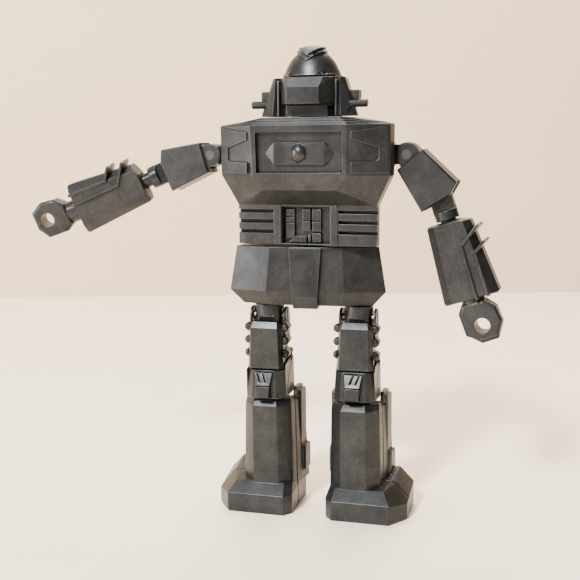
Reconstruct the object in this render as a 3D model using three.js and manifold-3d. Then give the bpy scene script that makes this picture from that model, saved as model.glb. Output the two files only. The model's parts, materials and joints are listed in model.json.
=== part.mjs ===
// A small jointed plastic robot, modelled in millimetres with +Z up.
// It faces -Y, its own left side is +X, and its soles stand on Z = 0.
import * as THREE from "three";
import { ConvexGeometry } from "three/addons/geometries/ConvexGeometry.js";
import { mergeVertices } from "three/addons/utils/BufferGeometryUtils.js";
import Module from "manifold-3d";

// ---- driving dimensions ----
const GAP = 0.3; // clearance between neighbouring pieces
const WALL = 1.6; // wall of the moulded shells
const SPLIT_Y = 0.3; // plane where front and rear shells meet
const ROUND = 28; // sides of a round piece
const SMALL_ROUND = 10; // sides of a small round piece

const CHEST_TOP = 82.4;
const CHEST_BOTTOM = 72.4;
const BAND_BOTTOM = 69.5;
const WAIST_TOP = 66.3;
const WAIST_BOTTOM = 58.1;
const COLLAR_TOP = 83.9;
const SHOULDER_Z = 76.4; // axis of the shoulder pegs
const SHOULDER_X = 19.7; // where the upper arm hinges on its peg
const PEG_RADIUS = 2.5;

const UPPER_ARM = 10.3; // shoulder hinge to elbow hinge
const FOREARM_TOP = 5.5; // elbow hinge to the top of the forearm
const FOREARM_END = 21.8; // elbow hinge to the wrist end
const ARM_HALF_DEPTH = 2.9;
const FOREARM_HALF_DEPTH = 3.2;

const NECK_RADIUS = 2.7;
const WAIST_RADIUS = 2.1;
const SCREW = { head: 1.5, shank: 0.8 };
const TORSO_SCREWS = { upper: { z: 76.4, seat: 5.4 }, lower: { z: 64.0, seat: 4.5 } };
const PELVIS_SCREW = { z: 51.6, seat: 5.1 };
const PLAY = 0.35; // radial play of a peg in its socket

const SKIRT_TOP = 57.7;
const SKIRT_LOW = 48.4;
const SKIRT_UNDER = 45.4;
const HIP_X = 9.6;
const HIP_Z = 42.4; // hinge between hip peg and thigh
const HIP_RADIUS = 3.1;
const HIP_STEM = 2.05;
const THIGH_BOTTOM = 31.6;
const KNEE_Z = 22.6; // hinge between knee and boot
const KNEE_Y = 1.0;

const HEAD_FLOOR = COLLAR_TOP + GAP;

// Angles of the pose in which the robot stands, in degrees.
const WAIST_TURN = 8;
// A peg can stand a little out of its socket (pegOut at the shoulder, slideOut at the elbow, wristOut
// at the wrist, in millimetres), and an elbow can lean forward on its loose pin.
const POSES = {
  left: {
    pegOut: 0.4, lift: 39, lean: 0, elbow: -20.5, slideOut: 0, roll: 0, wristOut: 0, hip: -4, stride: 4,
  },
  right: {
    pegOut: 2.7, lift: 73, lean: 13, elbow: -5.5, slideOut: 1.3, roll: -12, wristOut: 1.5, hip: 4, stride: 0,
  },
};

// ---- materials ----
const plastic = (color, roughness = 0.45) =>
  new THREE.MeshStandardMaterial({ color, roughness, metalness: 0.55 });
const GREY = plastic(0x6b6763);
const DARK = plastic(0x55524f);
const STEEL = plastic(0x9a9a9c, 0.3);

// ---- solids ----
const wasm = await Module();
wasm.setup();

function toSolid(geometry) {
  const bare = geometry.clone();
  for (const name of Object.keys(bare.attributes))
    if (name !== "position") bare.deleteAttribute(name);
  const merged = mergeVertices(bare, 1e-4);
  return new wasm.Manifold(
    new wasm.Mesh({
      numProp: 3,
      vertProperties: merged.attributes.position.array,
      triVerts: new Uint32Array(merged.index.array),
    }),
  );
}

function toGeometry(solid) {
  const mesh = solid.getMesh();
  const geometry = new THREE.BufferGeometry();
  geometry.setAttribute("position", new THREE.BufferAttribute(mesh.vertProperties, 3));
  geometry.setIndex(new THREE.BufferAttribute(mesh.triVerts, 1));
  return geometry;
}

const join = (...pieces) => toGeometry(pieces.map(toSolid).reduce((a, b) => a.add(b)));
const cut = (body, ...tools) =>
  toGeometry(tools.map(toSolid).reduce((a, b) => a.subtract(b), toSolid(body)));
const common = (a, b) => toGeometry(toSolid(a).intersect(toSolid(b)));

// The smallest convex body around a list of [x, y, z] points.
const hull = (points) => new ConvexGeometry(points.map((p) => new THREE.Vector3(...p)));
const bothSides = (points) => points.flatMap(([x, y, z]) => [[x, y, z], [-x, y, z]]);
const atHeight = (outline, z) => outline.map(([x, y]) => [x, y, z]);

function block(x0, x1, y0, y1, z0, z1) {
  const box = new THREE.BoxGeometry(x1 - x0, y1 - y0, z1 - z0);
  return box.translate((x0 + x1) / 2, (y0 + y1) / 2, (z0 + z1) / 2);
}

// A cylinder along one axis, from one coordinate to another, centred on (a, b) in the other two axes.
function rod(axis, radius, from, to, a = 0, b = 0, sides = ROUND) {
  const cylinder = new THREE.CylinderGeometry(radius, radius, to - from, sides);
  cylinder.translate(0, (from + to) / 2, 0);
  if (axis === "x") return cylinder.rotateZ(-Math.PI / 2).translate(0, a, b);
  if (axis === "y") return cylinder.translate(a, 0, b);
  return cylinder.rotateX(Math.PI / 2).translate(a, b, 0);
}

// A flat plate seen from the front: an [x, z] outline between two Y planes.
function plate(outline, y0, y1) {
  const shape = new THREE.Shape(outline.map(([x, z]) => new THREE.Vector2(x, z)));
  const body = new THREE.ExtrudeGeometry(shape, { depth: y1 - y0, bevelEnabled: false });
  return body.rotateX(Math.PI / 2).translate(0, y1, 0);
}

// A bar that follows an [x, z] line, from one Y plane to another.
function ridge(line, width, y0, y1) {
  const bars = line.slice(1).map(([x1, z1], i) => {
    const [x0, z0] = line[i];
    const length = Math.hypot(x1 - x0, z1 - z0) + width;
    const bar = new THREE.BoxGeometry(length, y1 - y0, width);
    bar.rotateY(-Math.atan2(z1 - z0, x1 - x0));
    return bar.translate((x0 + x1) / 2, (y0 + y1) / 2, (z0 + z1) / 2);
  });
  return join(...bars);
}

// The same body on the other side of x = 0, with its faces turned the right way out again.
function mirrored(geometry) {
  const flipped = geometry.clone().scale(-1, 1, 1);
  const source = flipped.index ? flipped.toNonIndexed() : flipped;
  const positions = source.attributes.position.array;
  for (let i = 0; i < positions.length; i += 9)
    for (let k = 0; k < 3; k++)
      [positions[i + 3 + k], positions[i + 6 + k]] = [positions[i + 6 + k], positions[i + 3 + k]];
  return new THREE.BufferGeometry().setAttribute("position", new THREE.BufferAttribute(positions, 3));
}

const pairOf = (body) => [body, mirrored(body)];

// Everything before or behind a Y plane, less half the clearance at the joint.
const FAR = 130; // beyond the whole robot
const before = (body, y) => cut(body, block(-FAR, FAR, y - GAP / 2, FAR, -FAR, FAR));
const behind = (body, y) => cut(body, block(-FAR, FAR, -FAR, y + GAP / 2, -FAR, FAR));

// ---- scene graph ----
const robot = new THREE.Group();
const degrees = THREE.MathUtils.degToRad;

function add(parent, name, geometry, material = GREY) {
  const mesh = new THREE.Mesh(geometry, material);
  mesh.name = name;
  parent.add(mesh);
}

// A group whose origin is a joint: its children turn about that point.
function pivot(parent, name, point, axis = "z", angle = 0) {
  const group = new THREE.Group();
  group.name = name;
  group.userData.axis = axis;
  group.position.set(...point);
  group.rotation[axis] = degrees(angle);
  parent.add(group);
  return group;
}

// A joint whose children keep their parent's coordinates.
function hinge(parent, name, point, axis, angle = 0) {
  const turning = pivot(parent, name, point, axis, angle);
  return pivot(turning, "", point.map((v) => -v));
}

// ---- torso ----
const CHEST = [[10.05, -9.95], [17.9, -6.4], [18.2, -3.9], [11.5, 6.6]];
const CHEST_LOW = [[9.8, -9.45], [17.9, -6.2], [18.1, -3.7], [11.2, 6.4]];
const BAND = [[7.6, -8.9], [10.6, 6.0]];
const WAIST = [[12.2, -5.2], [14.8, -4.8], [14.9, -2.5], [11, 5.4]];
const COLLAR_STEPS = 3;
const COLLAR_INSET = 0.75;
const COLLAR_FALL = 0.25; // rise at the outer corners as a part of the rise over the window

function outline(halfPlan, shrink = 0) {
  return halfPlan.map(([x, y]) => [x - shrink, y - Math.sign(y) * shrink]);
}

// One ledge of the collar: level over the window, and falling towards the outer corners.
function collarStep(index) {
  const rise = (COLLAR_TOP - CHEST_TOP) / COLLAR_STEPS;
  const shoulderRise = rise * COLLAR_FALL;
  const plan = outline(CHEST, COLLAR_INSET * (index + 1) - 0.45);
  const height = (step) => ([x, y]) => [x, y, CHEST_TOP + step * (x > 12 ? shoulderRise : rise)];
  const base = atHeight(outline(CHEST, COLLAR_INSET * (index + 1)), CHEST_TOP - 1);
  return hull(bothSides([...base, ...plan.map(height(index)), ...plan.map(height(index + 1))]));
}

function torsoOutside() {
  const chest = hull(bothSides([...atHeight(CHEST, CHEST_TOP), ...atHeight(CHEST_LOW, CHEST_BOTTOM)]));
  const underside = hull(
    bothSides([
      ...atHeight(CHEST_LOW, CHEST_BOTTOM),
      ...atHeight(BAND, BAND_BOTTOM),
      ...atHeight(WAIST, WAIST_TOP),
    ]),
  );
  const abdomen = hull(bothSides([...atHeight(WAIST, WAIST_TOP + 0.5), ...atHeight(WAIST, WAIST_BOTTOM)]));
  const collar = Array.from({ length: COLLAR_STEPS }, (_, i) => collarStep(i));
  return join(chest, underside, abdomen, ...collar);
}

function torsoInside() {
  const chest = hull(
    bothSides([
      ...atHeight(outline(CHEST, WALL + 1), CHEST_TOP - 0.4),
      ...atHeight(outline(CHEST_LOW, WALL + 1), CHEST_BOTTOM),
      ...atHeight([[9.5, -3.4], [10, 4]], WAIST_TOP),
    ]),
  );
  const waist = [[11.5, -2.3], [10, 3.8]];
  const abdomen = hull(bothSides([...atHeight(waist, WAIST_TOP + 1), ...atHeight(waist, WAIST_BOTTOM + 2)]));
  return join(chest, abdomen);
}

// The framed window on the chest, with its raised plaque and egg-shaped boss.
const WINDOW = { halfWidth: 9.0, low: 72.9, high: 80.9, depth: 1.0 };
const PLAQUE = { halfFlat: 5.25, halfLength: 7.3, low: 74.5, high: 79.0, mid: 76.8, face: -9.35 };
const EGG = { radius: 1.65, height: 1.85, proud: 1.3 };

function windowRecess() {
  const rect = (y, z) => [[WINDOW.halfWidth, y, z]];
  return hull(
    bothSides([
      ...rect(-12, WINDOW.low),
      ...rect(-12, WINDOW.high),
      ...rect(-9.48 + WINDOW.depth, WINDOW.low),
      ...rect(-9.88 + WINDOW.depth, WINDOW.high),
    ]),
  );
}

function plaque() {
  const { halfFlat, halfLength, low, high, mid, face } = PLAQUE;
  const back = -7.9;
  const tile = hull(
    bothSides([
      [halfFlat, face, low], [halfFlat, face, high], [halfLength, face + 0.55, mid],
      [halfFlat, back, low], [halfFlat, back, high], [halfLength, back, mid],
    ]),
  );
  const egg = new THREE.SphereGeometry(1, 32, 16);
  egg.rotateX(Math.PI / 2).scale(EGG.radius, EGG.proud, EGG.height).translate(0, face + 0.15, mid);
  return join(tile, egg);
}

// The raised bracket on each swept side panel, notched by an arrow that opens towards the window.
const PANEL_SWEEP = Math.atan2(3.55, 7.85);
const BRACKET = [
  [0.75, 81.0], [7.7, 81.9], [8.2, 81.4], [8.2, 73.0], [7.9, 72.8], [0.75, 72.8], [0.75, 75.0],
  [5.6, 75.2], [6.3, 75.6], [6.3, 77.9], [0.75, 79.5],
];
const BRACKET_PROUD = 0.5;

function sideBracket() {
  const body = plate(BRACKET, -BRACKET_PROUD, 0.8);
  return body.rotateZ(PANEL_SWEEP).translate(10.0, -9.75, 0);
}

// Grooves, posts and the switch console of the abdomen.
const GROOVES = [65.0, 62.9, 60.8];
const GROOVE = { height: 0.65, floor: -3.9, inner: 7.0 };
const POST = { inner: 5.4, outer: 6.8, proud: 0.25 };
const CONSOLE = { half: 5.1, floorHalf: 4.8, front: -5.3, floor: -3.7, low: 58.4, high: 66.0 };
const SWITCHES = [
  [-4.4, -2.6, 64.0, 65.4], [-4.4, -2.6, 62.8, 63.8], [-4.4, -2.6, 59.4, 62.6],
  [-0.9, 0.8, 63.2, 65.4], [-0.9, 0.8, 60.9, 63.0], [1.2, 3.1, 63.1, 65.4],
  [1.2, 3.1, 60.9, 62.9], [1.2, 3.1, 58.6, 60.5], [0.3, 0.9, 58.6, 60.2],
];
const SWITCH_PROUD = 0.7;
const WEDGE_SWITCH = [[-3.9, 58.6], [0.0, 58.6], [0.0, 59.8], [-2.6, 59.8]];

function ribGrooves() {
  const { height, floor, inner } = GROOVE;
  return GROOVES.flatMap((z) => pairOf(block(inner, 16, -7, floor, z - height / 2, z + height / 2)));
}

function consoleRecess() {
  const { half, floorHalf, front, floor, low, high } = CONSOLE;
  const section = [[half + 0.6, front - 1], [half, front], [floorHalf, floor]];
  return hull(bothSides([...atHeight(section, low), ...atHeight(section, high)]));
}

function switches() {
  const { floor } = CONSOLE;
  const keys = SWITCHES.map(([x0, x1, z0, z1]) => block(x0, x1, floor - SWITCH_PROUD, floor + 0.4, z0, z1));
  return [...keys, plate(WEDGE_SWITCH, floor - SWITCH_PROUD - 0.2, floor + 0.4)];
}

const posts = () => pairOf(block(POST.inner, POST.outer, -5.2 - POST.proud, -4, WAIST_BOTTOM, WAIST_TOP));

// Round openings and their blind bosses, for the pegs that leave the torso.
function torsoSockets() {
  const shoulders = rod("x", PEG_RADIUS + PLAY, -30, 30, SPLIT_Y, SHOULDER_Z);
  const neck = rod("z", NECK_RADIUS + PLAY, CHEST_TOP - 4, COLLAR_TOP + 2, 0, SPLIT_Y);
  const waist = rod("z", WAIST_RADIUS + PLAY, WAIST_BOTTOM - 2, WAIST_BOTTOM + 4, 0, SPLIT_Y);
  return [shoulders, neck, waist];
}

function screwHole({ z, seat }) {
  const counterbore = rod("y", SCREW.head + 0.2, seat - 0.1, seat + 6, 0, z, SMALL_ROUND);
  const pilot = rod("y", SCREW.shank + 0.2, seat - 3.2, seat, 0, z, SMALL_ROUND);
  return join(counterbore, pilot);
}

function screw(parent, name, { z, seat }) {
  const head = rod("y", SCREW.head, seat + 0.1, seat + 1.1, 0, z, SMALL_ROUND);
  const shank = rod("y", SCREW.shank, seat - 2.8, seat + 0.4, 0, z, SMALL_ROUND);
  const slot = block(-SCREW.head, SCREW.head, seat + 0.65, seat + 2, z - 0.2, z + 0.2);
  add(parent, name, cut(join(head, shank), slot), STEEL);
}

// The raised frame on the back, and the shallow tray inside it.
const backFrame = () =>
  hull(bothSides([[8.5, 6.0, 71.5], [8.5, 6.0, 81], [7.9, 7.1, 72.1], [7.9, 7.1, 80.4]]));
const backTray = () => block(-6.9, 6.9, 6.7, 9, 73.2, 79.3);

function torso() {
  const dressed = join(torsoOutside(), backFrame());
  const hollow = cut(dressed, torsoInside(), windowRecess(), consoleRecess(), backTray(), ...ribGrooves());
  const detailed = join(hollow, plaque(), ...pairOf(sideBracket()), ...posts(), ...switches());
  const open = cut(detailed, ...torsoSockets(), ...Object.values(TORSO_SCREWS).map(screwHole));
  add(robot, "torso_front", before(open, SPLIT_Y));
  add(robot, "torso_rear", behind(open, SPLIT_Y));
  screw(robot, "torso_screw_upper", TORSO_SCREWS.upper);
  screw(robot, "torso_screw_lower", TORSO_SCREWS.lower);
}

// ---- head ----
const DOME_BASE = 92.2;
const DOME_DEPTH = 0.8; // depth of the dome as a part of its width
const DOME_CURVE = [[6.1, DOME_BASE], [5.4, 93.8], [4.55, 95.3], [3.4, 96.5], [1.8, 97.4], [0, 97.75]];
const CREST = [
  { lift: 0.35, tip: 95.2, wing: 98.9 },
  { lift: 0.65, tip: 96.2, wing: 99.9 },
];
const HEAD_PLAN = [[4.4, -4.0], [5.5, -2.4], [5.5, 3.2], [3.9, 5.0]];
const FACE_Y = -3.2;
const EAR = { inner: 5.9, top: 91.9 };

function dome(lift = 0) {
  const grown = ([r, z]) => new THREE.Vector2(r + (r > 0 ? lift : 0), z + lift);
  const curve = new THREE.SplineCurve(DOME_CURVE.map(grown));
  const profile = [new THREE.Vector2(0, DOME_BASE - 0.01), ...curve.getPoints(8)];
  profile[0].y = profile[1].y;
  profile.at(-1).x = 0;
  const body = new THREE.LatheGeometry(profile, 32).rotateX(Math.PI / 2);
  return body.scale(1, DOME_DEPTH, 1);
}

// A V-shaped band over the top of the dome: low in the middle, rising to the sides.
function crestBand({ lift, tip, wing }) {
  const vee = [[0, tip], [6, wing], [6, 104], [-6, 104], [-6, wing]];
  return common(dome(lift), plate(vee, -8, 8));
}

function headOutside() {
  const jaw = hull(bothSides([...atHeight(HEAD_PLAN, HEAD_FLOOR), ...atHeight(HEAD_PLAN, DOME_BASE + 0.3)]));
  return join(jaw, dome(), ...CREST.map(crestBand));
}

function visor() {
  const back = FACE_Y - 0.1;
  const box = hull(
    bothSides([
      [3.45, -6.7, 86.5], [3.45, -6.7, 89.9], [3.8, -4.9, 91.9],
      [5.7, back, 86.6], [5.7, back, 91.9], [3.6, back, 86.5],
    ]),
  );
  const tenon = block(-2, 2, back - 0.5, back + 1.2, 88, 90.5);
  return join(box, tenon);
}

function ear() {
  const outside = hull([
    [EAR.inner, -3.2, HEAD_FLOOR], [7.2, -4.3, HEAD_FLOOR], [10.3, -2.6, HEAD_FLOOR],
    [9.5, 1.4, HEAD_FLOOR], [EAR.inner, 2.4, HEAD_FLOOR],
    [EAR.inner, -2.8, EAR.top], [6.8, -3.5, EAR.top], [7.6, -2.6, EAR.top],
    [7.3, 0.9, EAR.top], [EAR.inner, 1.6, EAR.top],
  ]);
  const flange = block(EAR.inner, EAR.inner + 0.45, -3.9, -2.5, HEAD_FLOOR, EAR.top - 0.6);
  const lug = block(7.6, 10.4, -2.2, 0.2, 87.4, 89.3);
  const barrel = rod("x", 0.8, 8.5, 12.3, -2.4, 86.6, SMALL_ROUND);
  const dowel = rod("x", 0.9, 4.4, EAR.inner + 0.3, SPLIT_Y, 88.2, SMALL_ROUND);
  return join(outside, flange, lug, barrel, dowel);
}

function head() {
  const turning = hinge(robot, "neck_turn", [0, SPLIT_Y, COLLAR_TOP], "z");
  const seat = block(-6, 6, -9, FACE_Y + 0.2, 86.2, 92.1);
  const mortise = block(-2.3, 2.3, FACE_Y - 1, FACE_Y + 1.5, 87.7, 90.8);
  const dowels = rod("x", 1.2, -7, 7, SPLIT_Y, 88.2, SMALL_ROUND);
  const socket = rod("z", NECK_RADIUS - 0.5 + PLAY, HEAD_FLOOR - 1, 87.5, 0, SPLIT_Y);
  const shell = cut(headOutside(), seat, mortise, dowels, socket);
  add(turning, "head_front", before(shell, SPLIT_Y));
  add(turning, "head_rear", behind(shell, SPLIT_Y));
  add(turning, "visor", visor());
  const [leftEar, rightEar] = pairOf(ear());
  add(turning, "left_ear", leftEar);
  add(turning, "right_ear", rightEar);
  const peg = rod("z", NECK_RADIUS, 80.4, HEAD_FLOOR - 0.1, 0, SPLIT_Y);
  const spigot = rod("z", NECK_RADIUS - 0.5, 82, 87.2, 0, SPLIT_Y);
  const flange = rod("z", NECK_RADIUS + 0.8, 79.9, 80.9, 0, SPLIT_Y);
  add(turning, "neck_peg", join(peg, spigot, flange), DARK);
}

// ---- pelvis ----
const SKIRT_PLANS = [
  { z: SKIRT_TOP, plan: [[7.5, -5.1], [15.0, -2.9], [14.0, 3.0], [8.4, 5.7]] },
  { z: SKIRT_LOW, plan: [[8.2, -5.9], [16.5, -3.3], [15.3, 3.3], [9.2, 6.4]] },
  { z: SKIRT_UNDER, plan: [[7.4, -4.4], [13.8, -2.2], [12.8, 2.6], [8.2, 5.2]] },
];
const SKIRT_SHIFT = -0.85; // the skirt hangs a little to the robot's right of its peg

function pelvis() {
  const turning = hinge(robot, "waist_turn", [0, SPLIT_Y, WAIST_BOTTOM], "z", WAIST_TURN);
  const skirt = hull(bothSides(SKIRT_PLANS.flatMap(({ z, plan }) => atHeight(plan, z))));
  const tab = (side) =>
    hull(bothSides([
      [3.4, side * 6.1, SKIRT_TOP - 0.2], [2.75, side * 6.9, SKIRT_LOW - 1],
      [2.6, side * 5.5, SKIRT_UNDER - 0.5],
      [3.4, side * 3, SKIRT_TOP - 0.2], [2.6, side * 3, SKIRT_UNDER - 0.5],
    ]));
  const [top, low] = SKIRT_PLANS.map(({ plan }) => outline(plan, WALL - 0.1));
  const inside = hull(bothSides([...atHeight(top, SKIRT_TOP - WALL), ...atHeight(low, SKIRT_LOW)]));
  const waist = rod("z", WAIST_RADIUS + PLAY, SKIRT_TOP - 3, SKIRT_TOP + 1, 0, SPLIT_Y);
  const hips = pairOf(rod("z", HIP_STEM + PLAY, SKIRT_UNDER - 1, SKIRT_LOW + 1, HIP_X, SPLIT_Y));
  const outside = join(skirt, tab(-1), tab(1));
  for (const body of [outside, inside]) body.translate(SKIRT_SHIFT, 0, 0);
  const shell = cut(outside, inside, waist, ...hips, screwHole(PELVIS_SCREW));
  add(turning, "pelvis_front", before(shell, SPLIT_Y));
  add(turning, "pelvis_rear", behind(shell, SPLIT_Y));
  screw(turning, "pelvis_screw", PELVIS_SCREW);
  const stem = rod("z", WAIST_RADIUS, 54.3, 61.6, 0, SPLIT_Y);
  const keep = (z, lip) => rod("z", WAIST_RADIUS + lip, z, z + 1, 0, SPLIT_Y);
  add(turning, "waist_peg", join(stem, keep(53.8, 0.9), keep(60.8, 0.4)), DARK);
  for (const side of ["left", "right"]) leg(turning, side);
}

// Everything on one side is drawn as the left one; the right one is its mirror image.
function sideFrame(parent, side) {
  const frame = new THREE.Group();
  frame.scale.x = side === "left" ? 1 : -1;
  parent.add(frame);
  return frame;
}

// ---- arms ----
const TONGUE = { radius: 2.45, half: 1.2 };
const CHEEK = TONGUE.half + GAP; // inner face of a fork's cheek
const LINK_RADIUS = 2.4;
const PIN_RADIUS = 0.8;
const PIN_BORE = PIN_RADIUS + 0.3;
const PIN_REACH = 1.8;
const UPPER_ARM_OUTLINE = [[3.2, -1.2], [4.5, -10.6], [1.6, -11.8], [-4.7, -10.9], [-3.4, -1.2]];
const UPPER_ARM_FACE = [[2.9, -1.5], [4.1, -10.5], [1.5, -11.4], [-4.3, -10.6], [-3.0, -1.5]];
const FOREARM_OUTLINE = [
  [1.8, -5.5], [4.5, -6.4], [5.8, -21.4], [5.4, -21.8],
  [-5.3, -21.8], [-5.6, -21.4], [-4.4, -5.9], [-4.0, -5.5],
];
const FOREARM_FACE = [[2.0, -5.8], [3.1, -6.2], [4.2, -21.5], [-3.8, -21.5], [-2.6, -5.8]];
const FOREARM_RIDGES = [
  [[5.6, -8.0], [1.5, -10.8], [1.3, -21.6]],
  [[5.9, -11.3], [3.5, -12.9], [3.6, -21.6]],
];
const RIDGE = { width: 0.55, proud: 0.45 };
const GRIP = { x: 0.55, z: -5.5, radius: 1.55 };
const FIST_FRONT = [
  [-2.3, -0.5], [2.3, -0.6], [4.2, -2.4], [4.6, -5.6], [3.1, -8.2], [-0.6, -8.3], [-3.2, -6.8], [-3.4, -2.2],
];
const FIST_REAR = [
  [-2.3, -0.6], [2.2, -0.6], [4.0, -2.6], [4.3, -6.1], [2.5, -9.2], [-1.0, -9.4], [-3.0, -7.6], [-3.2, -2.4],
];
const CUFF = { radius: 2.4, length: 3.0, stem: 1.5, reach: 6.4 };
const FIST = { half: 2.5, groove: 0.7, inset: 0.45 };

const at = (outlineXZ, y) => outlineXZ.map(([x, z]) => [x, y, z]);

// A body that is widest at its middle and has a smaller flat face in front and behind.
function slab(wide, face, half, edge) {
  return hull([...at(wide, -edge), ...at(wide, edge), ...at(face, -half), ...at(face, half)]);
}

function shoulderPeg() {
  const shank = rod("x", PEG_RADIUS, -14.0, -2.9);
  const flange = rod("x", PEG_RADIUS + 0.6, -14.2, -13.2);
  const neck = block(-3.2, 0, -TONGUE.half, TONGUE.half, -2.0, 2.0);
  const eye = rod("y", TONGUE.radius, -TONGUE.half, TONGUE.half);
  return cut(join(shank, flange, neck, eye), rod("y", PIN_BORE, -4, 4, 0, 0, SMALL_ROUND));
}

const armPin = (z) => rod("y", PIN_RADIUS, -PIN_REACH, PIN_REACH, 0, z, SMALL_ROUND);
const pinHole = (z) => rod("y", PIN_BORE, -PIN_REACH - 0.25, PIN_REACH + 0.25, 0, z, SMALL_ROUND);

function upperArm() {
  const body = slab(UPPER_ARM_OUTLINE, UPPER_ARM_FACE, ARM_HALF_DEPTH, ARM_HALF_DEPTH - 0.45);
  const ears = [[-2.3, -CHEEK], [CHEEK, 2.3]].map(([y0, y1]) =>
    join(rod("y", 2.4, y0, y1), block(-2.4, 2.4, y0, y1, -1.8, 0)),
  );
  const shoulderSlot = rod("y", TONGUE.radius + GAP, -CHEEK, CHEEK);
  const elbowSlot = rod("y", TONGUE.radius + GAP, -CHEEK, CHEEK, 0, -UPPER_ARM);
  const elbowMouth = block(-9, 9, -CHEEK, CHEEK, -14, -UPPER_ARM);
  return cut(join(body, ...ears), shoulderSlot, elbowSlot, elbowMouth, pinHole(0), pinHole(-UPPER_ARM));
}

function elbowLink() {
  const eye = rod("y", TONGUE.radius, -TONGUE.half + 0.25, TONGUE.half - 0.25);
  const neck = block(-2.3, 2.3, -TONGUE.half + 0.25, TONGUE.half - 0.25, -3.7, 0);
  const barrel = rod("z", LINK_RADIUS, -FOREARM_TOP + GAP, -3.4);
  const stem = rod("z", 1.6, -10, -4);
  const flange = rod("z", 2.1, -10, -9);
  return cut(join(eye, neck, barrel, stem, flange), rod("y", PIN_BORE, -4, 4, 0, 0, SMALL_ROUND));
}

function forearm() {
  const body = slab(FOREARM_OUTLINE, FOREARM_FACE, FOREARM_HALF_DEPTH, FOREARM_HALF_DEPTH - 1.7);
  const ridges = FOREARM_RIDGES.map((line) =>
    ridge(line, RIDGE.width, -FOREARM_HALF_DEPTH - RIDGE.proud, FOREARM_HALF_DEPTH + RIDGE.proud),
  );
  const sockets = [
    rod("z", 1.6 + PLAY, -9, -4), rod("z", 2.1 + PLAY, -10.3, -7.3),
    rod("z", CUFF.stem + PLAY, -23, -FOREARM_END + CUFF.reach + GAP),
    rod("z", CUFF.radius + GAP, -23, -FOREARM_END + CUFF.length + GAP),
  ];
  return cut(join(body, ...ridges), ...sockets);
}

function fist() {
  const { half, groove, inset } = FIST;
  const shrink = (points, by) =>
    points.map(([x, z]) => [x - Math.sign(x - GRIP.x) * by, z - Math.sign(z - GRIP.z) * by]);
  const fingers = (points, near, far) => {
    const widest = far - Math.sign(far) * inset;
    return hull([...at(points, near), ...at(points, widest), ...at(shrink(points, inset), far)]);
  };
  const front = fingers(FIST_FRONT, -groove, -half);
  const rear = fingers(FIST_REAR, groove, half);
  const core = plate(shrink(FIST_FRONT, 0.6), -groove - 0.2, groove + 0.2);
  const cuff = rod("z", CUFF.radius, -2, CUFF.length);
  const stem = rod("z", CUFF.stem, -1, CUFF.reach);
  return cut(join(front, rear, core, cuff, stem), rod("y", GRIP.radius, -5, 5, GRIP.x, GRIP.z));
}

function arm(side) {
  const pose = POSES[side];
  const frame = sideFrame(robot, side);
  const shoulder = [SHOULDER_X + pose.pegOut, SPLIT_Y, SHOULDER_Z];
  const swing = pivot(frame, side + "_shoulder_swing", shoulder, "x");
  add(swing, side + "_shoulder_peg", shoulderPeg(), DARK);
  const lift = pivot(swing, side + "_shoulder_lift", [0, 0, 0], "y", -pose.lift);
  add(lift, side + "_upper_arm_front", before(upperArm(), 0));
  add(lift, side + "_upper_arm_rear", behind(upperArm(), 0));
  add(lift, side + "_shoulder_pin", armPin(0), STEEL);
  add(lift, side + "_elbow_pin", armPin(-UPPER_ARM), STEEL);
  const elbow = pivot(lift, side + "_elbow_bend", [0, 0, -UPPER_ARM], "y", -pose.elbow);
  const leaning = pivot(elbow, "", [0, 0, 0], "x", -pose.lean);
  add(leaning, side + "_elbow_link", elbowLink(), DARK);
  const roll = pivot(leaning, side + "_forearm_turn", [0, 0, -pose.slideOut], "z", pose.roll);
  add(roll, side + "_forearm_front", before(forearm(), 0));
  add(roll, side + "_forearm_rear", behind(forearm(), 0));
  const wrist = pivot(roll, side + "_wrist_turn", [0, 0, -FOREARM_END - pose.wristOut]);
  add(wrist, side + "_fist", fist());
}

// ---- legs (x from the middle of the leg, y and z as in the whole robot) ----
const KNUCKLE = 2.6;
const CRADLE = 3.8; // room for the barrel when the leg swings
const EAR_PLATE = { inner: 3.4, outer: 3.95, radius: 2.0 };
const THIGH_RIDGES = [40.2, 37.4, 34.6];
const THIGH_RIDGE_RADIUS = 0.95;
const GUARD_TOP = 32.4;
const GUARD_BOTTOM = 25.2;
const KNEE_TONGUE = 2.3;

function hipPeg() {
  const barrel = rod("z", HIP_RADIUS, HIP_Z, SKIRT_UNDER - GAP, 0, SPLIT_Y);
  const stem = rod("z", HIP_STEM, HIP_Z, 49.9, 0, SPLIT_Y);
  const flange = rod("z", HIP_STEM + 0.4, 48.9, 49.9, 0, SPLIT_Y);
  const across = rod("x", KNUCKLE, -HIP_RADIUS, HIP_RADIUS, SPLIT_Y, HIP_Z);
  const knuckle = common(across, rod("z", HIP_RADIUS, 38, 46, 0, SPLIT_Y));
  return cut(join(barrel, stem, flange, knuckle), rod("x", PIN_BORE, -5, 5, SPLIT_Y, HIP_Z, SMALL_ROUND));
}

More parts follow.
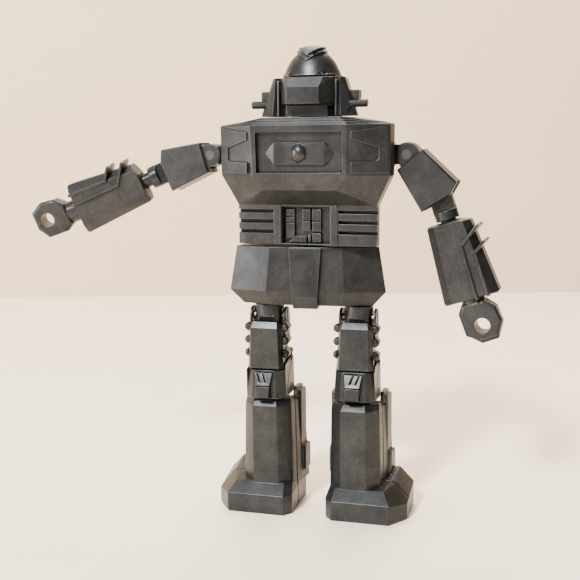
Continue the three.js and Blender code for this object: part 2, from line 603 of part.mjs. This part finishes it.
function thigh() {
  const body = hull([
    ...bothSides([[2.9, -4.5, 40.3], [2.7, -3.8, 41.6], [3.6, -3.0, 40.6]]),
    ...bothSides([[3.1, 3.2, 41.0], [2.4, 4.0, 40.6]]),
    ...bothSides(atHeight([[3.15, -4.5], [3.9, -3.2], [3.3, 3.2], [2.5, 4.0]], THIGH_BOTTOM)),
  ]);
  const { inner, outer, radius } = EAR_PLATE;
  const ears = pairOf(join(
    rod("x", radius, inner, outer, SPLIT_Y, HIP_Z),
    block(inner, outer, -1.7, 2.3, 37, HIP_Z),
    block(2.4, outer, -1.7, 2.3, 37, 39),
  ));
  const ridges = THIGH_RIDGES.flatMap((z) => pairOf(hull([
    ...ringPoints(4.0, -2.9, z, THIGH_RIDGE_RADIUS * 0.6),
    ...ringPoints(4.0, -2.4, z, THIGH_RIDGE_RADIUS),
    ...ringPoints(3.75, 0.6, z, THIGH_RIDGE_RADIUS),
  ])));
  const spigot = block(-2.2, 2.2, -2.0, 2.6, 27.6, THIGH_BOTTOM + 0.5);
  const cradle = rod("x", CRADLE, -inner, inner, SPLIT_Y, HIP_Z);
  const pinHoles = rod("x", PIN_BORE, -3.9, 3.9, SPLIT_Y, HIP_Z, SMALL_ROUND);
  return cut(join(body, ...ears, ...ridges, spigot), cradle, pinHoles);
}

// Points of a circle of the given radius around (x, z), in the plane at y.
function ringPoints(x, y, z, radius) {
  return Array.from({ length: SMALL_ROUND }, (_, i) => {
    const turn = (2 * Math.PI * i) / SMALL_ROUND;
    return [x + radius * Math.cos(turn), y, z + radius * Math.sin(turn)];
  });
}

function kneeGuard() {
  const cup = hull(bothSides([
    [2.4, -4.6, GUARD_TOP - 0.4], [4.1, -2.9, GUARD_TOP],
    [4.2, 4.0, GUARD_TOP + 0.6], [3.4, 4.9, GUARD_TOP + 0.6],
    [2.7, -5.0, GUARD_BOTTOM], [4.4, -3.2, GUARD_BOTTOM],
    [4.4, 4.0, GUARD_BOTTOM], [3.6, 4.9, GUARD_BOTTOM],
  ]));
  const backWall = hull(bothSides([
    [4.2, 2.2, GUARD_TOP], [4.2, 2.8, 34.6], [3.4, 4.9, 34.6], [4.2, 4.0, 34.6], [3.4, 4.9, GUARD_TOP],
  ]));
  const seat = [[3.5, -4.8], [4.2, -3.4], [3.6, 3.5], [2.8, 4.3]];
  const thighSeat = hull(bothSides([...atHeight(seat, THIGH_BOTTOM - GAP), ...atHeight(seat, 40)]));
  const pocket = block(-2.5, 2.5, -2.3, 2.9, 27.2, 33);
  const cap = hull(bothSides([[1.9, -4.3, 31.3], [1.9, -5.3, 30.9], [1.5, -6.2, 28.3], [1.6, -4.6, 28.0]]));
  const boss = hull(bothSides([
    [1.5, -6.3, 28.1], [1.35, -6.5, 25.9], [1.35, -6.1, 25.5], [1.6, -4.6, 28.2], [1.6, -4.6, 25.4],
  ]));
  const tongue = join(
    rod("x", KNEE_TONGUE, -2.3, 2.3, KNEE_Y, KNEE_Z),
    block(-2.3, 2.3, KNEE_Y - KNEE_TONGUE, KNEE_Y + KNEE_TONGUE, KNEE_Z, GUARD_BOTTOM + 0.3),
  );
  const grooves = [-0.75, 0.45].map((x) =>
    plate([[x, 29.0], [x + 0.35, 29.0], [x + 1.05, 31.0], [x + 0.7, 31.0]], -7, -5.25),
  );
  const pinHole = rod("x", PIN_BORE, -4, 4, KNEE_Y, KNEE_Z, SMALL_ROUND);
  const shell = cut(join(cup, backWall), thighSeat, pocket);
  return cut(join(shell, cap, boss, tongue), pinHole, ...grooves);
}

const SHIN = [
  { z: 24.7, plan: [[2.4, -3.9], [4.9, -1.3], [5.9, 5.8], [4.6, 6.8]] },
  { z: 23.5, plan: [[2.65, -4.8], [5.1, -1.9], [6.1, 5.8], [4.6, 7.0]] },
  { z: 5.0, plan: [[2.75, -4.3], [5.5, -1.9], [6.9, 6.8], [5.4, 8.4]] },
];
const SOLE = [
  [-4.35, -6.5], [8.0, -6.5], [11.2, -2.0], [11.3, 7.2], [9.2, 8.9], [-4.8, 8.9], [-6.1, 7.0], [-5.9, -4.7],
];
const FOOT_EDGE = [4.2, 4.2, 3.6, 5.4, 5.2, 5.2, 5.2, 4.4]; // height of the foot over each corner of SOLE
const INSTEP = [
  [-4.0, -4.1, 6.5], [6.6, -4.1, 6.5], [8.6, 1.0, 7.0], [8.4, 6.8, 8.6], [-5.0, 6.8, 8.2], [-5.2, -1.5, 6.9],
];

function boot() {
  const shin = hull(bothSides(SHIN.flatMap(({ z, plan }) => atHeight(plan, z))));
  const wings = pairOf(hull([
    [4.6, 1.2, 24], [5.5, 1.2, 24], [5.4, 2.0, 26.4], [4.6, 2.0, 26.4],
    [6.0, 5.4, 24], [4.6, 5.8, 24], [5.9, 5.4, 26.4], [4.6, 5.8, 26.4],
  ]));
  const upperCalf = stepPlate(6.5, 2.4, 5.8, 11.5, 25.6);
  const lowerCalf = stepPlate(7.2, 3.4, 6.8, 7.2, 12.8);
  const foot = hull([
    ...SOLE.map(([x, y]) => [x * 0.985, y * 0.985, 0]),
    ...SOLE.map(([x, y]) => [x, y, 0.5]),
    ...SOLE.map(([x, y], i) => [x, y, FOOT_EDGE[i]]),
    ...INSTEP,
  ]);
  const seatUnderGuard = hull(bothSides([
    [2.4, -3.6, 26], [4.55, -1.0, 26], [4.7, 2.2, 26], [2.4, -4.4, 30], [4.6, -3.4, 30], [4.7, 2.2, 30],
    [2.4, -3.6, 24.4], [4.6, -1.3, 24.4], [4.7, 2.2, 24.4],
  ]));
  // Behind the knee pin the seat falls away, to make room for the guard when the knee bends.
  const seatBehindPin = hull(bothSides([[4.7, 2.1, 24.4], [4.7, 2.1, 30], [4.7, 8, 21.3], [4.7, 8, 30]]));
  const kneeSlot = join(
    rod("x", KNEE_TONGUE + GAP, -2.6, 2.6, KNEE_Y, KNEE_Z),
    block(-2.6, 2.6, KNEE_Y - KNEE_TONGUE - GAP, KNEE_Y + KNEE_TONGUE + 1.6, KNEE_Z, 26),
  );
  const pinHole = rod("x", PIN_BORE, -4.2, 4.2, KNEE_Y, KNEE_Z, SMALL_ROUND);
  const hollow = hull(bothSides([
    ...atHeight([[2.4, -2.4], [3.6, -0.4], [3.6, 4.6]], 18),
    ...atHeight([[2.4, -2.6], [3.8, -0.6], [3.8, 5.4]], 3),
  ]));
  const outside = join(shin, ...wings, ...pairOf(upperCalf), ...pairOf(lowerCalf), foot);
  return cut(outside, seatUnderGuard, seatBehindPin, kneeSlot, pinHole, hollow);
}

// A raised plate on the side of the calf, bevelled along its front edge.
function stepPlate(proud, front, back, low, high) {
  return hull([low, high].flatMap((z) => [
    [4.5, front - 0.6, z], [proud - 0.65, front - 0.2, z], [proud - 0.3, front + 0.4, z],
    [proud, back, z], [4.5, back, z],
  ]));
}

function leg(parent, side) {
  const frame = sideFrame(parent, side);
  const middle = pivot(frame, "", [HIP_X, 0, 0]);
  const turn = hinge(middle, side + "_hip_turn", [0, SPLIT_Y, HIP_Z], "z", POSES[side].hip);
  add(turn, side + "_hip_peg", hipPeg(), DARK);
  const { stride } = POSES[side];
  const swing = hinge(turn, side + "_hip_swing", [0, SPLIT_Y, HIP_Z], "x", -stride);
  const hipPin = rod("x", PIN_RADIUS, -3.7, 3.7, SPLIT_Y, HIP_Z, SMALL_ROUND);
  add(swing, side + "_hip_pin", hipPin, STEEL);
  add(swing, side + "_thigh_front", before(thigh(), SPLIT_Y));
  add(swing, side + "_thigh_rear", behind(thigh(), SPLIT_Y));
  add(swing, side + "_knee_guard", kneeGuard());
  const bend = hinge(swing, side + "_knee_bend", [0, KNEE_Y, KNEE_Z], "x", stride);
  const kneePin = rod("x", PIN_RADIUS, -3.9, 3.9, KNEE_Y, KNEE_Z, SMALL_ROUND);
  add(bend, side + "_knee_pin", kneePin, STEEL);
  add(bend, side + "_boot_front", before(boot(), SPLIT_Y));
  add(bend, side + "_boot_rear", behind(boot(), SPLIT_Y));
}

torso();
head();
pelvis();
arm("left");
arm("right");

// The whole robot is shifted so that the middle of its box is over the origin.
robot.updateMatrixWorld(true);
const box = new THREE.Box3().setFromObject(robot, true);
const middle = box.getCenter(new THREE.Vector3());
robot.position.set(-middle.x, -middle.y, -box.min.z);

export default robot;
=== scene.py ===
import json
import math

import bmesh
import bpy
from mathutils import Matrix, Vector


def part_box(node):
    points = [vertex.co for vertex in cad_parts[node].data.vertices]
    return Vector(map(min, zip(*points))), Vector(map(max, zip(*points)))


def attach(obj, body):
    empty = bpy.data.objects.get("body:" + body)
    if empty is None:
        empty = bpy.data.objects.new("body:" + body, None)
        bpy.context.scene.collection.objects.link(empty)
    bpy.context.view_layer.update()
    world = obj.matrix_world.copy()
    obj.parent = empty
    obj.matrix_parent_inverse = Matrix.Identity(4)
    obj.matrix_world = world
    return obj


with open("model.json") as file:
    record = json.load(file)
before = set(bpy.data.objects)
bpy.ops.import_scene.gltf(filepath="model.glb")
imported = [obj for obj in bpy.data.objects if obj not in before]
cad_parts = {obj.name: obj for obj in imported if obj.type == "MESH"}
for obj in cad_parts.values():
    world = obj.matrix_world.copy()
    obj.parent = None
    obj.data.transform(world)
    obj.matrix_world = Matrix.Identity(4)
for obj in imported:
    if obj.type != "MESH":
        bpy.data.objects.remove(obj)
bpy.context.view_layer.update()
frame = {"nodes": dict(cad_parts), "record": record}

MM = 0.001
OCCLUSION_SAMPLES = 6


# ---- small node-tree helpers ----
def new_material(name):
    material = bpy.data.materials.new(name)
    material.use_nodes = True
    tree = material.node_tree
    return material, tree, tree.nodes["Principled BSDF"]


def node(tree, kind, **values):
    made = tree.nodes.new(kind)
    for socket, value in values.items():
        made.inputs[socket].default_value = value
    return made


def object_place(tree):
    return tree.nodes.new("ShaderNodeTexCoord").outputs["Object"]


def noise(tree, coordinates, scale, detail, roughness, distortion=0.0):
    made = node(tree, "ShaderNodeTexNoise", Scale=scale, Detail=detail, Roughness=roughness,
                Distortion=distortion)
    tree.links.new(coordinates, made.inputs["Vector"])
    return made.outputs["Fac"]


def ramp(tree, factor, stops):
    """The factor passed through a curve of grey levels, given as (position, level) stops."""
    made = tree.nodes.new("ShaderNodeValToRGB")
    elements = made.color_ramp.elements
    while len(elements) < len(stops):
        elements.new(0.5)
    for element, (position, level) in zip(elements, stops):
        element.position = position
        element.color = (level, level, level, 1)
    tree.links.new(factor, made.inputs["Fac"])
    return made.outputs["Color"]


def mix(tree, factor, a, b):
    """Colour a where the factor is 0 and b where it is 1. Each is a socket or three numbers."""
    made = tree.nodes.new("ShaderNodeMix")
    made.data_type = "RGBA"
    factor_in, a_in, b_in = made.inputs[0], made.inputs[6], made.inputs[7]
    tree.links.new(factor, factor_in)
    for socket, colour in ((a_in, a), (b_in, b)):
        if isinstance(colour, bpy.types.NodeSocket):
            tree.links.new(colour, socket)
        else:
            socket.default_value = (*colour, 1)
    return made.outputs[2]


def bump(tree, height, distance, strength, normal=None):
    made = node(tree, "ShaderNodeBump", Strength=strength, Distance=distance)
    tree.links.new(height, made.inputs["Height"])
    if normal:
        tree.links.new(normal, made.inputs["Normal"])
    return made.outputs["Normal"]


def stretched(tree, coordinates, scale, turn=(0.0, 0.0, 0.0)):
    made = node(tree, "ShaderNodeMapping", Scale=scale, Rotation=turn)
    tree.links.new(coordinates, made.inputs["Vector"])
    return made.outputs["Vector"]


def near_faces(tree, distance, inside=False):
    """1 on open faces, less where another face of the same piece is within distance.

    With inside, it looks through the solid instead, so it is less along outer edges."""
    made = node(tree, "ShaderNodeAmbientOcclusion", Distance=distance)
    made.inside, made.only_local, made.samples = inside, True, OCCLUSION_SAMPLES
    return made.outputs["AO"]


def times(colour, factor):
    return tuple(factor * c for c in colour)


# ---- materials ----
# noise scales, about one blotch or flake in 1 / scale metres
BLOTCH_SCALE = 190.0
FLOW_SCALE = 130.0
FLAKE_SCALE = 5200.0
GRIME_SCALE = 900.0
SCRATCH_SCALE = 4200.0
FLOW_STRETCH = (1.0, 1.0, 0.35)
FLOW_TURN = (0.4, 0.7, 0.2)
SCRATCH_STRETCH = (1.0, 0.08, 1.0)

# ramp stops: (noise or occlusion, level)
BLOTCH_STOPS = [(0.35, 0.0), (0.68, 1.0)]
FLOW_STOPS = [(0.47, 0.0), (0.5, 0.22), (0.56, 0.0)]
FLAKE_STOPS = [(0.56, 0.0), (0.72, 0.4)]
EDGE_WEAR_AND_HIGHLIGHT_STOPS = [(0.5, 0.7), (0.8, 0.0)]
PAINTED_CORNER_SHADE_STOPS = [(0.45, 0.75), (0.85, 0.0)]
EVEN_STOPS = [(0.3, 0.0), (0.7, 1.0)]

# noise levels that get the lowest and the highest roughness
GRIME_RANGE = (0.3, 0.75)
SCRATCH_RANGE = (0.3, 0.7)

# how far from an outer edge the wear and painted highlight reach, and from an inner corner the
# painted shade
EDGE_WEAR_AND_HIGHLIGHT_WIDTH = 0.35 * MM
PAINTED_CORNER_SHADE_WIDTH = 0.9 * MM

# colours, as multiples of a plastic's dark or light grey or of the paint
FLOW_OF_DARK = 0.55
FLAKE_OF_LIGHT = 2.1
EDGE_WEAR_AND_HIGHLIGHT_OF_LIGHT = 2.6
PAINTED_CORNER_SHADE_OF_DARK = 0.35
CLOUD_OF_PAINT = 0.965

PIGMENT_METALLIC = 0.75
PIGMENT_SPECULAR = 0.22

# bump heights
BLOTCH_HEIGHT = 0.12 * MM
GRIME_HEIGHT = 0.03 * MM
FLAKE_HEIGHT = 0.01 * MM
SCRATCH_HEIGHT = 0.01 * MM


def pigmented_plastic(name, dark, light, roughness):
    """Grey plastic with a silvery pigment: blotches, flow marks and fine flakes, lighter at its
    outer edges from wear and a painted highlight, and darkened by painted shade in its inner
    corners."""
    material, tree, shader = new_material(name)
    link = tree.links.new
    place = object_place(tree)
    along_flow = stretched(tree, place, FLOW_STRETCH, FLOW_TURN)
    blotches = noise(tree, place, BLOTCH_SCALE, detail=4.0, roughness=0.6, distortion=0.4)
    flow = noise(tree, along_flow, FLOW_SCALE, detail=2.0, roughness=0.5, distortion=2.2)
    flakes = noise(tree, place, FLAKE_SCALE, detail=1.0, roughness=0.5)
    grime = noise(tree, place, GRIME_SCALE, detail=5.0, roughness=0.65)

    colour = mix(tree, ramp(tree, blotches, BLOTCH_STOPS), dark, light)
    colour = mix(tree, ramp(tree, flow, FLOW_STOPS), colour, times(dark, FLOW_OF_DARK))
    colour = mix(tree, ramp(tree, flakes, FLAKE_STOPS), colour, times(light, FLAKE_OF_LIGHT))
    # wear and painted highlight: a lighter colour along outer edges, where the solid is thin
    edge_wear_and_highlight = ramp(tree, near_faces(tree, EDGE_WEAR_AND_HIGHLIGHT_WIDTH, inside=True), EDGE_WEAR_AND_HIGHLIGHT_STOPS)
    colour = mix(tree, edge_wear_and_highlight, colour, times(light, EDGE_WEAR_AND_HIGHLIGHT_OF_LIGHT))
    # painted shade: a darker colour in inner corners, where other faces of the piece are near
    painted_corner_shade = ramp(tree, near_faces(tree, PAINTED_CORNER_SHADE_WIDTH), PAINTED_CORNER_SHADE_STOPS)
    colour = mix(tree, painted_corner_shade, colour, times(dark, PAINTED_CORNER_SHADE_OF_DARK))
    link(colour, shader.inputs["Base Color"])

    link(ramp(tree, grime, list(zip(GRIME_RANGE, roughness))), shader.inputs["Roughness"])
    shader.inputs["Metallic"].default_value = PIGMENT_METALLIC
    shader.inputs["Specular IOR Level"].default_value = PIGMENT_SPECULAR

    normal = bump(tree, blotches, BLOTCH_HEIGHT, strength=0.5)
    normal = bump(tree, grime, GRIME_HEIGHT, strength=0.5, normal=normal)
    normal = bump(tree, flakes, FLAKE_HEIGHT, strength=0.35, normal=normal)
    link(normal, shader.inputs["Normal"])
    return material


def drawn_steel(name, dark, light, roughness):
    """Bright steel with fine scratches that run front to back, along Y."""
    material, tree, shader = new_material(name)
    link = tree.links.new
    along = stretched(tree, object_place(tree), SCRATCH_STRETCH)
    scratches = noise(tree, along, SCRATCH_SCALE, detail=3.0, roughness=0.6)
    link(mix(tree, ramp(tree, scratches, EVEN_STOPS), dark, light), shader.inputs["Base Color"])
    link(ramp(tree, scratches, list(zip(SCRATCH_RANGE, roughness))), shader.inputs["Roughness"])
    shader.inputs["Metallic"].default_value = 1.0
    link(bump(tree, scratches, SCRATCH_HEIGHT, strength=0.4), shader.inputs["Normal"])
    return material


def painted_surface(name, colour, grain, roughness):
    """Paint with faint clouds of a slightly darker shade, whose noise scale is grain."""
    material, tree, shader = new_material(name)
    cloud = noise(tree, object_place(tree), grain, detail=5.0, roughness=0.6)
    shade = times(colour, CLOUD_OF_PAINT)
    clouded = mix(tree, ramp(tree, cloud, EVEN_STOPS), shade, colour)
    tree.links.new(clouded, shader.inputs["Base Color"])
    shader.inputs["Roughness"].default_value = roughness
    return material


MATERIALS = {
    "body_plastic": pigmented_plastic(
        "body_plastic",
        dark=(0.0225, 0.0238, 0.0255), light=(0.0378, 0.0396, 0.0420), roughness=(0.32, 0.42)),
    "peg_plastic": pigmented_plastic(
        "peg_plastic",
        dark=(0.0218, 0.0232, 0.0250), light=(0.0362, 0.0382, 0.0405), roughness=(0.28, 0.36)),
    "pin_steel": drawn_steel(
        "pin_steel",
        dark=(0.42, 0.42, 0.43), light=(0.62, 0.61, 0.60), roughness=(0.28, 0.45)),
}


# ---- moulded edges on the frame's pieces ----
SAME_POINT = 0.002 * MM  # vertices closer than this are one
EDGE_ROUND = 0.13 * MM
FACET = math.radians(13.5)  # edges flatter than this belong to a round surface
SLOT_OF = {part["node"]: part["material_slot"] for part in frame["record"]["subparts"]}


def shaded_smooth():
    """Modifier tree that shades every face smooth, for the weighted normals that follow."""
    tree = bpy.data.node_groups.new("shaded_smooth", "GeometryNodeTree")
    for way in ("INPUT", "OUTPUT"):
        tree.interface.new_socket("Geometry", in_out=way, socket_type="NodeSocketGeometry")
    entry, leave = tree.nodes.new("NodeGroupInput"), tree.nodes.new("NodeGroupOutput")
    edges, faces = (tree.nodes.new("GeometryNodeSetShadeSmooth") for _ in range(2))
    edges.domain, faces.domain = "EDGE", "FACE"
    tree.links.new(entry.outputs[0], edges.inputs["Geometry"])
    tree.links.new(edges.outputs[0], faces.inputs["Geometry"])
    tree.links.new(faces.outputs[0], leave.inputs[0])
    return tree


SMOOTH = shaded_smooth()

for name, piece in frame["nodes"].items():
    piece.data.materials.clear()
    piece.data.materials.append(MATERIALS[SLOT_OF[name]])
    weld = piece.modifiers.new("weld", "WELD")
    weld.merge_threshold = SAME_POINT
    edge = piece.modifiers.new("edge", "BEVEL")
    edge.width = EDGE_ROUND
    edge.segments = 2
    edge.limit_method = "ANGLE"
    edge.angle_limit = FACET
    edge.use_clamp_overlap = False
    edge.miter_outer = "MITER_ARC"
    smooth = piece.modifiers.new("smooth", "NODES")
    smooth.node_group = SMOOTH
    level_faces = piece.modifiers.new("level_faces", "WEIGHTED_NORMAL")
    level_faces.mode = "FACE_AREA"
    level_faces.weight = 80


# ---- strips that close the moulding seams, so that no light shows through the pieces ----
SEAM = 0.3 * MM  # distance between a front moulding and its rear one
STRIP_SET_BACK = 0.22 * MM  # from the outside of the piece to the edge of the strip
STRIP_PLAY = 0.03 * MM  # left free between the strip and each moulding
PARALLEL = 0.9999  # least dot product of two normals that point the same way
SAME_PLANE = 0.01 * MM  # faces with less than this between their planes share one
SEAM_ERROR = 0.02 * MM  # most that a seam's width may differ from SEAM
STRAIGHT = 0.01  # radians: edges flatter than this are dissolved in a strip
BODY_OF = {node: body for body, nodes in frame["record"]["behaviour"]["bodies"].items()
           for node in nodes}


def planes(piece):
    """Every plane of a piece as (normal, distance, faces), the largest plane first."""
    found = []
    for face in piece.data.polygons:
        distance = face.normal.dot(face.center)
        for normal, place, faces in found:
            if normal.dot(face.normal) > PARALLEL and abs(distance - place) < SAME_PLANE:
                faces.append(face)
                break
        else:
            found.append((face.normal.copy(), distance, [face]))
    return sorted(found, key=lambda plane: -sum(face.area for face in plane[2]))


def seam_plane(front, rear):
    """The normal and faces of the largest plane of front that faces rear across the seam."""
    behind = planes(rear)
    for normal, place, faces in planes(front):
        if any(other.dot(normal) < -PARALLEL and abs(-distance - place - SEAM) < SEAM_ERROR
               for other, distance, _ in behind):
            return normal, faces


def seam_strip(name):
    """A thin plate in the seam of moulding name, set back from the outside all round."""
    front = frame["nodes"][name + "_front"]
    normal, faces = seam_plane(front, frame["nodes"][name + "_rear"])
    sheet = bmesh.new()
    for face in faces:
        sheet.faces.new([sheet.verts.new(front.data.vertices[i].co) for i in face.vertices])
    bmesh.ops.remove_doubles(sheet, verts=sheet.verts, dist=SAME_POINT)
    bmesh.ops.dissolve_limit(sheet, angle_limit=STRAIGHT, verts=sheet.verts, edges=sheet.edges)
    rim = bmesh.ops.inset_region(sheet, faces=sheet.faces, thickness=STRIP_SET_BACK,
                                 use_boundary=True, use_even_offset=False)
    bmesh.ops.delete(sheet, geom=rim["faces"], context="FACES")
    bmesh.ops.translate(sheet, vec=normal * SEAM / 2, verts=sheet.verts)
    mesh = bpy.data.meshes.new(name + "_seam")
    sheet.to_mesh(mesh)
    sheet.free()
    strip = bpy.data.objects.new(name + "_seam", mesh)
    bpy.context.scene.collection.objects.link(strip)
    mesh.materials.append(MATERIALS["body_plastic"])
    thick = strip.modifiers.new("thick", "SOLIDIFY")
    thick.thickness = SEAM - 2 * STRIP_PLAY
    thick.offset = 0
    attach(strip, BODY_OF[front.name])


for moulding in [name[:-len("_front")] for name in frame["nodes"] if name.endswith("_front")]:
    seam_strip(moulding)


# ---- camera, at the photograph's angle ----
AZIMUTH, PITCH, ROLL = (math.radians(a) for a in (19.23, 8.91, 0.51))
EYE_RIGHT_OF_SPINE = 60.25 * MM
EYE_BEFORE_SPINE = 188.13 * MM
EYE_HEIGHT = 78.98 * MM
LENS = 58.48  # millimetres, as the sensor's width is
SENSOR = 36


def middle(name):
    low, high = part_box(name)
    return (Vector(low) + Vector(high)) / 2


spine = middle("neck_peg")
back = Vector((math.sin(AZIMUTH) * math.cos(PITCH),
               -math.cos(AZIMUTH) * math.cos(PITCH),
               math.sin(PITCH)))
level = Vector((math.cos(AZIMUTH), math.sin(AZIMUTH), 0))
rise = back.cross(level)
right = level * math.cos(ROLL) - rise * math.sin(ROLL)
up = level * math.sin(ROLL) + rise * math.cos(ROLL)
eye = Vector((spine.x + EYE_RIGHT_OF_SPINE, spine.y - EYE_BEFORE_SPINE, EYE_HEIGHT))

camera = bpy.data.objects.new("camera", bpy.data.cameras.new("camera"))
bpy.context.scene.collection.objects.link(camera)
camera.data.lens = LENS
camera.data.sensor_width = SENSOR
camera.data.clip_start = 0.01
camera.matrix_world = Matrix.Translation(eye) @ Matrix((right, up, back)).transposed().to_4x4()
bpy.context.scene.camera = camera


# ---- table and wall, square to the camera's azimuth ----
TABLE_BEHIND = 0.29  # metres from the robot to the table's far edge, where the wall stands
TABLE_BEFORE = 1.5  # metres from the robot to the table's near edge
ROOM_HALF_WIDTH = 2
WALL_HEIGHT = 1.6


def flat(name, corners, material):
    mesh = bpy.data.meshes.new(name)
    mesh.from_pydata(corners, [], [tuple(range(len(corners)))])
    surface = bpy.data.objects.new(name, mesh)
    bpy.context.scene.collection.objects.link(surface)
    surface.data.materials.append(material)


away = Vector((-math.sin(AZIMUTH), math.cos(AZIMUTH), 0))
foot = Vector((spine.x, spine.y, 0))
aside = level * ROOM_HALF_WIDTH
near = foot - away * TABLE_BEFORE
far = foot + away * TABLE_BEHIND
high = Vector((0, 0, WALL_HEIGHT))
table = painted_surface("table_white", (0.93, 0.80, 0.66), grain=30.0, roughness=0.45)
wall = painted_surface("wall_cream", (0.70, 0.55, 0.38), grain=14.0, roughness=0.8)
flat("table", [near - aside, near + aside, far + aside, far - aside], table)
flat("wall", [far - aside, far + aside, far + aside + high, far - aside + high], wall)


# ---- light ----
LAMPS_AIM = foot + Vector((0, 0, 0.05))  # about half the robot's height
LAMP_WHITE = (1.0, 0.97, 0.93)
SIDE_WHITE = (1.0, 0.97, 0.94)
ROOM_WHITE = (1.0, 0.95, 0.88)
ROOM_STRENGTH = 0.18


def softbox(name, offset, size, watts, colour):
    """A square lamp at offset, in metres to the right of, before and above what it aims at."""
    light = bpy.data.lights.new(name, "AREA")
    light.shape = "SQUARE"
    light.size, light.energy, light.color = size, watts, colour
    lamp = bpy.data.objects.new(name, light)
    bpy.context.scene.collection.objects.link(lamp)
    across, before, above = offset
    lamp.location = LAMPS_AIM + level * across - away * before + Vector((0, 0, above))
    lamp.rotation_mode = "QUATERNION"
    lamp.rotation_quaternion = (LAMPS_AIM - lamp.location).to_track_quat("-Z", "Y")


softbox("key", (-0.36, 0.62, 0.60), size=0.14, watts=24.0, colour=LAMP_WHITE)
softbox("side", (-0.72, 0.24, 0.12), size=0.24, watts=7.5, colour=SIDE_WHITE)
softbox("top", (-0.15, -0.10, 0.85), size=0.50, watts=7.0, colour=LAMP_WHITE)
softbox("rear", (0.05, -0.24, 0.38), size=0.20, watts=2.6, colour=LAMP_WHITE)

world = bpy.data.worlds.new("room")
bpy.context.scene.world = world
world.use_nodes = True
background = world.node_tree.nodes["Background"]
background.inputs["Color"].default_value = (*ROOM_WHITE, 1)
background.inputs["Strength"].default_value = ROOM_STRENGTH

bpy.context.view_layer.update()
